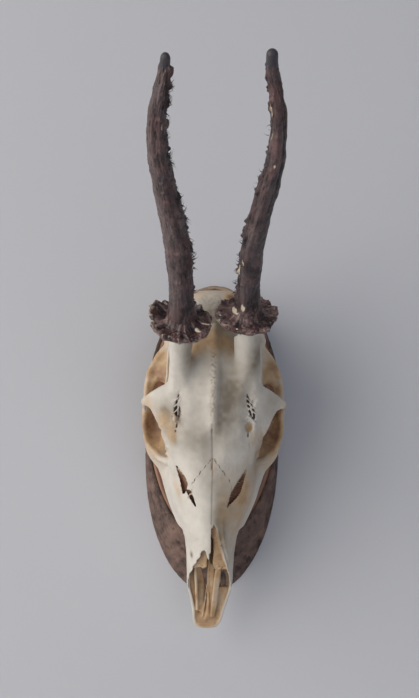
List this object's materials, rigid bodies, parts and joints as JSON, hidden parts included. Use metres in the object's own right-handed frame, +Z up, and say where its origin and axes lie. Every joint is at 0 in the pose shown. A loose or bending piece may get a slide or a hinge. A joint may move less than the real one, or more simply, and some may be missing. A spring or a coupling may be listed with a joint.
{
  "type": "roe deer skull trophy on a log slice",
  "caption": "Bleached roe deer upper skull with two unbranched antler spikes in dried velvet, fixed nose down to an oval slice of log that hangs flat on a wall.",
  "frame": {"origin": "The middle of the log slice's flat back, which lies on the wall.", "axes": "+Z is up as the trophy hangs, with the antlers up and the nose down. -Y is the way the skull faces, away from the wall, and +X is to the right for someone who looks at it. Left and right in the node names are theirs."},
  "size_m": [0.0937, 0.2603, 0.2554],
  "materials": {
    "skull_bone": "bleached bone, satin",
    "nose_bone": "stained thin bone, satin",
    "antler_velvet": "dried velvet skin, matt",
    "slice_wood": "stained and varnished face",
    "slice_bark": "rough bark"
  },
  "bodies": {
    "root": {"braincase": "skull_bone", "frontal": "skull_bone", "cheek_arch_left": "skull_bone", "cheek_arch_right": "skull_bone", "maxilla_left": "skull_bone", "maxilla_right": "skull_bone", "nasal_left": "skull_bone", "nasal_right": "skull_bone", "premaxilla_left": "nose_bone", "premaxilla_right": "nose_bone", "coronet_left": "antler_velvet", "coronet_right": "antler_velvet", "antler_left": "antler_velvet", "antler_right": "antler_velvet", "slice_wood": "slice_wood", "slice_bark": "slice_bark"}
  },
  "joints": []
}
